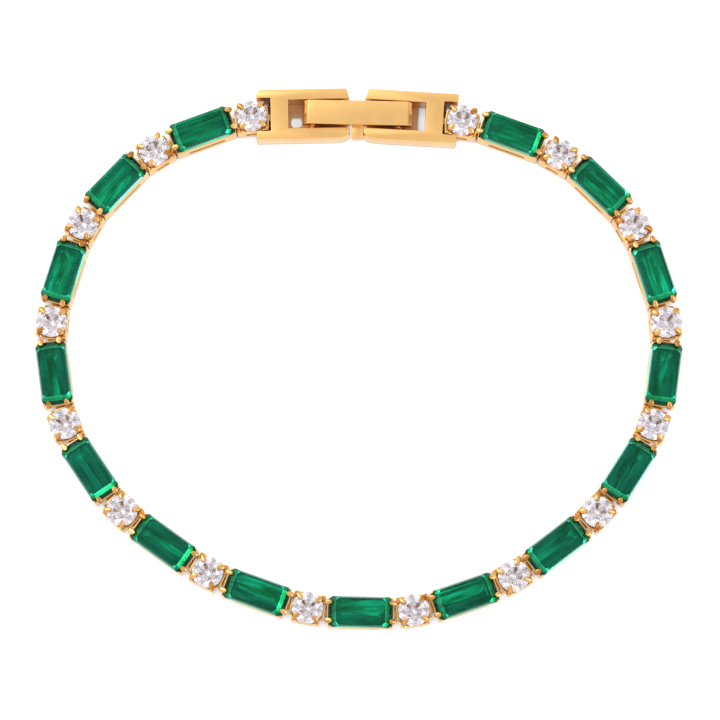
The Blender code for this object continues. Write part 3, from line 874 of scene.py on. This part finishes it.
clasp = {
    "width": 4.8 * mm,
    "height": 2.4 * mm,
    "fork": 1.35 * mm,
    "notchWidth": 3.2 * mm,
    "notchEdge": 0.1 * mm,
    "crossbar": 1.7 * mm,
    "rail": 1.0 * mm,
    "railLength": 5.85 * mm,
    "railGap": 1.4 * mm,
    "bend": math.radians(4.6),
    "recessEnd": 1.45 * mm,
    "recessHigh": 1.25 * mm,
    "recessWidth": 2.34 * mm,
    "edge": 0.07 * mm,
    "noseLength": 1.6 * mm,
    "noseDepth": 0.45 * mm,
    "noseSteps": 6,
    "slant": 0.28 * mm,
    "forkCut": 0.4 * mm,
    "flatAngle": math.radians(0.5),    # faces nearer to flat than this are one
    "pinRadius": 0.3 * mm,
    "pinSides": 20,
    "webStart": -0.15 * mm,
    "webEnd": 0.4 * mm,
    "webInner": 0.38 * mm,
    "webOuter": 1.7 * mm,
    "webHigh": 0.3 * mm,
}

windowFloor = {
    "low": 0.075 * mm,
    "high": 0.3 * mm,
    "lap": 0.25 * mm,             # how far the floor reaches into the rails
    "plainLength": 5.15 * mm,
    "hole": 1.0 * mm,
    "holeOffset": 0.25 * mm,
    "holeAcross": 0.55 * mm,
    "holeRound": 0.28 * mm,
}

forkEnd = clasp["notchEdge"] - clasp["fork"]
windowStart = clasp["notchEdge"] + clasp["crossbar"]
frameEnd = windowStart + clasp["railLength"]
windowHalf = clasp["width"] / 2 - clasp["rail"]
notchHalf = clasp["notchWidth"] / 2
recessHalf = clasp["recessWidth"] / 2
halfClasp = frameEnd + clasp["railGap"] / 2
leftJoint = roundMiddles[0] - roundDirections[0] * roundPitch / 2
rightJoint = roundMiddles[-1] + roundDirections[-1] * roundPitch / 2


# A frame's flat outline, cut for its fork and its window. The near rail ends round, the far one at a slant
def frameOutline(near):
    turns = [math.pi / 2 * step / clasp["noseSteps"] for step in range(clasp["noseSteps"] + 1)]
    nose = [frameEnd - clasp["noseLength"] * math.cos(turn) for turn in turns]
    lines = (clasp["width"] / 2, notchHalf, windowHalf, recessHalf)
    bm = cutSheet([forkEnd, clasp["notchEdge"], clasp["recessEnd"], windowStart] + nose,
                  sorted(side * line for side in (-1, 1) for line in lines))
    for vert in bm.verts:
        share = max(0.0, (vert.co.x - nose[0]) / clasp["noseLength"])
        outward = vert.co.y * near - windowHalf
        if outward > 0:
            drop = clasp["noseDepth"] * (1 - math.sqrt(max(0.0, 1 - share ** 2)))
            vert.co.y -= near * drop * outward / clasp["rail"]
        elif vert.co.x > frameEnd - tiny and vert.co.y * near < -windowHalf:
            vert.co.x -= clasp["slant"] * (-vert.co.y * near - windowHalf) / clasp["rail"]
    removeFaces(bm, lambda c: c.x < clasp["notchEdge"] and abs(c.y) < notchHalf)
    removeFaces(bm, lambda c: c.x > windowStart and abs(c.y) < windowHalf)
    return bm


# The outline drawn up to the top, and down to the ground everywhere but over the recess for the end link
def frameSolid(near):
    bm = frameOutline(near)
    bmesh.ops.translate(bm, vec=(0, 0, clasp["recessHigh"]), verts=bm.verts)
    extrude(bm, bm.faces[:], (0, 0, clasp["height"] - clasp["recessHigh"]))
    bmesh.ops.recalc_face_normals(bm, faces=bm.faces)
    lower = []
    for face in bm.faces:
        middle = face.calc_center_median()
        overRecess = middle.x < clasp["recessEnd"] and abs(middle.y) < recessHalf
        if isLevel(face, -1) and not overRecess:
            lower.append(face)
    extrude(bm, lower, (0, 0, -clasp["recessHigh"]))
    bmesh.ops.recalc_face_normals(bm, faces=bm.faces)
    bmesh.ops.dissolve_limit(bm, angle_limit=clasp["flatAngle"], verts=bm.verts, edges=bm.edges)
    if near < 0:
        corner = uprights(bm, lambda p: p.x < forkEnd + tiny and p.y > clasp["width"] / 2 - tiny)
        bevelEdges(bm, corner, clasp["forkCut"], segments=1)
    roundEdges(bm, clasp["edge"], segments=3)
    return bm


# Brushes a frame's top, and gives the walls of its window and its fork the darkened gold of painted shade
def finishFrame(bm):
    for face in bm.faces:
        middle = face.calc_center_median()
        innerHalf = notchHalf if middle.x < windowStart else windowHalf
        inside = abs(middle.y) < innerHalf + tiny and middle.x < frameEnd - clasp["edge"]
        if isLevel(face):
            face.material_index = brushed
        else:
            face.material_index = shadowed if inside else polished


# The floor in a frame's window: with a hole in the left frame, plain and short in the right one
def windowSheet(near):
    low, high, lap = windowFloor["low"], windowFloor["high"], windowFloor["lap"]
    side = windowHalf + lap
    if near > 0:
        return block((frameEnd - windowFloor["plainLength"], -side, low), (frameEnd - lap, side, high))
    x = windowStart + windowFloor["holeOffset"]
    y = windowFloor["holeAcross"] - windowHalf
    farX, farY = x + windowFloor["hole"], y + windowFloor["hole"]
    bm = cutSheet([windowStart - lap, x, farX, frameEnd - lap], [-side, y, farY, side])
    removeFaces(bm, lambda c: x < c.x < farX and y < c.y < farY)
    bmesh.ops.translate(bm, vec=(0, 0, low), verts=bm.verts)
    extrude(bm, bm.faces[:], (0, 0, high - low))
    bmesh.ops.recalc_face_normals(bm, faces=bm.faces)
    corners = uprights(bm, lambda p: x - tiny < p.x < farX + tiny and y - tiny < p.y < farY + tiny)
    bevelEdges(bm, corners, windowFloor["holeRound"], segments=4)
    return bm


# A frame along X from its joint to the clasp's middle. near is the side that faces the front
def claspFrame(near, pinPlace, pinHeight):
    bm = frameSolid(near)
    finishFrame(bm)
    pin = bar(clasp["pinRadius"], 2 * windowHalf + clasp["rail"], clasp["pinSides"], (pinPlace, 0, pinHeight))
    joinTo(bm, pin, material=polished)
    endPin = bar(joint["barRadius"], 2 * recessHalf + linkMetal["wall"], joint["barSides"],
                 (joint["barInset"], 0, joint["barHeight"]))
    joinTo(bm, endPin, material=polished)
    # Sheets of painted shade low in the fork's notch, so that the notch shows dark
    for side in (-1, 1):
        ys = sorted((side * clasp["webInner"], side * clasp["webOuter"]))
        web = block((clasp["webStart"], ys[0], clasp["edge"]), (clasp["webEnd"], ys[1], clasp["webHigh"]),
                    clasp["edge"])
        joinTo(bm, web, material=paintedDarkShade)
    # The window's floor gets the darkened gold of painted shade
    joinTo(bm, windowSheet(near), material=shadowed)
    return bm


hinge = frame["joints"][0]["pos_m"]
tongue = {
    "length": 10.45 * mm,
    "width": 2.35 * mm,
    "thickness": 1.0 * mm,
    "proud": 0.45 * mm,
    "endBevel": 0.5 * mm,
    "edge": 0.06 * mm,
    "hingeInset": 0.92 * mm,
    "latchInset": 1.2 * mm,
    "latchHeight": 1.3 * mm,
    "play": 0.08 * mm,
    "eyeWall": 0.3 * mm,
    "eyeWidth": 1.6 * mm,
    "eyeSides": 24,
    "jaw": 0.35 * mm,
    "jawFoot": 1.0 * mm,
    "jawLap": 0.25 * mm,
    "tabWidth": 1.1 * mm,
    "tabThickness": 0.5 * mm,
    "tabFoot": 0.9 * mm,
    "tabDrop": 0.5 * mm,
    "tabRound": 0.3 * mm,
    "tabEdge": 0.12 * mm,
}

hingePlace = halfClasp - (tongue["length"] / 2 - tongue["hingeInset"]) / math.cos(clasp["bend"] / 2)
latchPlace = halfClasp - (tongue["length"] / 2 - tongue["latchInset"]) / math.cos(clasp["bend"] / 2)
leftFrame = claspFrame(-1, hingePlace, hinge[2])
rightFrame = claspFrame(1, latchPlace, tongue["latchHeight"])
leftTurn = Matrix.Rotation(clasp["bend"] / 2, 4, "Z")
rightTurn = Matrix.Rotation(math.pi - clasp["bend"] / 2, 4, "Z")
leftPlace = Matrix.Translation((leftJoint.x, leftJoint.y, 0)) @ leftTurn
rightPlace = Matrix.Translation((rightJoint.x, rightJoint.y, 0)) @ rightTurn
addPiece("claspFrameLeft", leftFrame, golds, leftPlace, "bracelet", ["clasp_frame_left"])
addPiece("claspFrameRight", rightFrame, golds, rightPlace, "bracelet", ["clasp_frame_right"])


# The thumb tab: a leg in front of the frames, and an arm back to the tongue
def addTab(bm, size, middle, top):
    left, right = middle - size["tabWidth"] / 2, middle + size["tabWidth"] / 2
    front = -clasp["width"] / 2 + size["length"] / 4 * math.tan(clasp["bend"] / 2)
    foot = size["tabFoot"] - hinge[2]
    tabTop = top - size["tabDrop"]
    halfThickness = size["tabThickness"] / 2
    leg = block((left, front, foot), (right, front + size["tabThickness"], tabTop - halfThickness))
    bevelEdges(leg, crossEdges(leg, lambda p: p.z < foot + tiny), size["tabRound"], segments=4)
    roundEdges(leg, size["edge"])
    joinTo(bm, leg, material=polished)
    arm = block((left, front, tabTop - size["tabThickness"]),
                (right, halfThickness - size["width"] / 2, tabTop), size["tabEdge"])
    joinTo(bm, arm, material=brushed)


# The tongue along X, with its hinge's axis at the origin
def claspTongue(size):
    left = -size["hingeInset"]
    right = left + size["length"]
    top = clasp["height"] + size["proud"] - hinge[2]
    bottom = top - size["thickness"]
    slab = block((left, -size["width"] / 2, bottom), (right, size["width"] / 2, top))
    bevelEdges(slab, crossEdges(slab, lambda p: p.z > top - tiny), size["endBevel"], segments=1)
    roundEdges(slab, size["edge"], segments=3)
    bm = bmesh.new()
    joinTo(bm, slab, material=polished)
    for face in bm.faces:
        if isLevel(face):
            face.material_index = brushed
    addTab(bm, size, left + size["length"] / 2, top)
    outer = clasp["pinRadius"] + size["play"] + size["eyeWall"]
    joinTo(bm, bar(outer, size["eyeWidth"], size["eyeSides"], (0, 0, 0)), material=polished)
    latch = right - size["latchInset"]
    mouth = clasp["pinRadius"] + size["play"] + size["eyeWidth"] / 2 * math.tan(clasp["bend"] / 2)
    for side in (-1, 1):
        xs = sorted((latch + side * mouth, latch + side * (mouth + size["jaw"])))
        jaw = block((xs[0], -size["eyeWidth"] / 2, size["jawFoot"] - hinge[2]),
                    (xs[1], size["eyeWidth"] / 2, bottom + size["jawLap"]), size["edge"])
        joinTo(bm, jaw, material=polished)
    return bm


tongueShape = claspTongue(tongue)
addPiece("claspTongue", tongueShape, golds, Matrix.Translation(hinge), "tongue", ["clasp_tongue"])
print("clasp made")


# Floor, lights and camera

studio = {
    "floorSize": 4.0,
    "floorColor": (0.3, 0.3, 0.3),
    "floorShade": (0.297, 0.297, 0.297),
    "floorScale": 6.0,
    "floorRoughness": 0.6,
    "floorGlow": 0.8,
    "creviceReach": 2.0 * mm,
    "creviceSamples": 8,
    "creviceRange": (0.1, 0.34),           # how open the floor is where its glow begins and where it is full
    "skyColor": (1.0, 0.98, 0.97),
    "skyRange": (0.27, 1.32),              # how bright the sky is on its dim side and on its bright side
    "brightSide": (-0.4, 0.45, 0.8),
    "darkMiddle": (0.0, 0.165, 0.986),     # the way to the middle of the dark part above the camera
    "darkEdges": (math.cos(math.radians(24)), math.cos(math.radians(12))),
    "darkShare": 0.4,
}


# The floor glows with painted light, so that it stays white where the bracelet's shadow falls, and its glow
# fades out in narrow gaps between parts by its ambient occlusion, as painted shade
def makeFloor():
    material = bpy.data.materials.new("paleFloor")
    material.use_nodes = True
    tree = material.node_tree
    shader = tree.nodes["Principled BSDF"]
    shader.inputs["Roughness"].default_value = studio["floorRoughness"]
    clouds = addNode(tree, "ShaderNodeGroup", -350, 100, node_tree=cloudGroup)
    clouds.inputs["Deep"].default_value = (*studio["floorShade"], 1.0)
    clouds.inputs["Light"].default_value = (*studio["floorColor"], 1.0)
    clouds.inputs["Scale"].default_value = studio["floorScale"]
    coordinates = addNode(tree, "ShaderNodeTexCoord", -550, 100)
    tree.links.new(coordinates.outputs["Object"], clouds.inputs["Place"])
    tree.links.new(clouds.outputs["Color"], shader.inputs["Base Color"])
    shader.inputs["Emission Color"].default_value = (1, 1, 1, 1)
    crevices = addNode(tree, "ShaderNodeAmbientOcclusion", -550, -300, samples=studio["creviceSamples"])
    crevices.inputs["Distance"].default_value = studio["creviceReach"]
    glow = addMapRange(tree, -350, -300, studio["creviceRange"], (0.0, studio["floorGlow"]),
                       interpolation_type="SMOOTHSTEP")
    tree.links.new(crevices.outputs["AO"], glow.inputs["Value"])
    tree.links.new(glow.outputs["Result"], shader.inputs["Emission Strength"])
    bm = bmesh.new()
    bmesh.ops.create_grid(bm, x_segments=1, y_segments=1, size=studio["floorSize"] / 2)
    mesh = bpy.data.meshes.new("floor")
    bm.to_mesh(mesh)
    bm.free()
    mesh.materials.append(material)
    floor = bpy.data.objects.new("floor", mesh)
    bpy.context.scene.collection.objects.link(floor)


def addLight(name, place, target, size, power):
    data = bpy.data.lights.new(name, "AREA")
    data.shape = "RECTANGLE"
    data.size, data.size_y = size
    data.energy = power
    lamp = bpy.data.objects.new(name, data)
    lamp.location = place
    lamp.rotation_euler = (Vector(target) - Vector(place)).to_track_quat("-Z", "Y").to_euler()
    bpy.context.scene.collection.objects.link(lamp)


makeFloor()
lamps = {
    "keyPanel": {"place": (-0.35, 0.3, 0.5), "size": (0.3, 0.3), "power": 0.8},
    "fillPanel": {"place": (0.4, -0.1, 0.45), "size": (0.25, 0.25), "power": 0.4},
}
for name, lamp in lamps.items():
    addLight(name, lamp["place"], (0, 0, 0), lamp["size"], lamp["power"])


# A sky that is brighter on one side, with a dark part overhead, so that flat tops of stones show what is
# inside them
def makeSky():
    world = bpy.data.worlds.new("studio")
    bpy.context.scene.world = world
    world.use_nodes = True
    tree = world.node_tree
    background = tree.nodes["Background"]
    background.inputs["Color"].default_value = (*studio["skyColor"], 1.0)
    coordinates = addNode(tree, "ShaderNodeTexCoord", -600, 0)
    toMiddle = addNode(tree, "ShaderNodeVectorMath", -400, 0, operation="DOT_PRODUCT")
    toMiddle.inputs[1].default_value = studio["darkMiddle"]
    dimmed = addMapRange(tree, -200, 0, studio["darkEdges"], (1.0, studio["darkShare"]),
                         interpolation_type="SMOOTHSTEP")
    toSide = addNode(tree, "ShaderNodeVectorMath", -400, -250, operation="DOT_PRODUCT")
    toSide.inputs[1].default_value = studio["brightSide"]
    sided = addMapRange(tree, -200, -250, (-1.0, 1.0), studio["skyRange"])
    strength = addNode(tree, "ShaderNodeMath", 0, -100, operation="MULTIPLY")
    link = tree.links.new
    link(coordinates.outputs["Generated"], toMiddle.inputs[0])
    link(coordinates.outputs["Generated"], toSide.inputs[0])
    link(toMiddle.outputs["Value"], dimmed.inputs["Value"])
    link(toSide.outputs["Value"], sided.inputs["Value"])
    link(dimmed.outputs["Result"], strength.inputs[0])
    link(sided.outputs["Result"], strength.inputs[1])
    link(strength.outputs[0], background.inputs["Strength"])


makeSky()
bpy.context.scene.view_settings.view_transform = "Standard"

view = {
    "target": (0.12 * mm, -0.57 * mm, 2.4 * mm),
    "direction": (-0.006, -0.171, 1.0),    # from the target to the camera
    "distance": 281 * mm,
    "width": 67.68 * mm,                   # what the picture's width spans at the target
    "turn": math.radians(1.085),
    "sensor": 36.0,
    "clipStart": 0.01,
}


def makeCamera():
    turn = Matrix.Rotation(view["turn"], 3, "Z")
    back = (turn @ Vector(view["direction"])).normalized()
    right = (turn @ Vector((0, 1, 0))).cross(back).normalized()
    up = back.cross(right)
    data = bpy.data.cameras.new("camera")
    data.sensor_width = view["sensor"]
    data.lens = data.sensor_width * view["distance"] / view["width"]
    camera = bpy.data.objects.new("camera", data)
    axes = Matrix((right, up, back)).transposed().to_4x4()
    camera.matrix_world = Matrix.Translation(Vector(view["target"]) + back * view["distance"]) @ axes
    data.clip_start = view["clipStart"]
    bpy.context.scene.collection.objects.link(camera)
    bpy.context.scene.camera = camera


makeCamera()
print("scene ready")
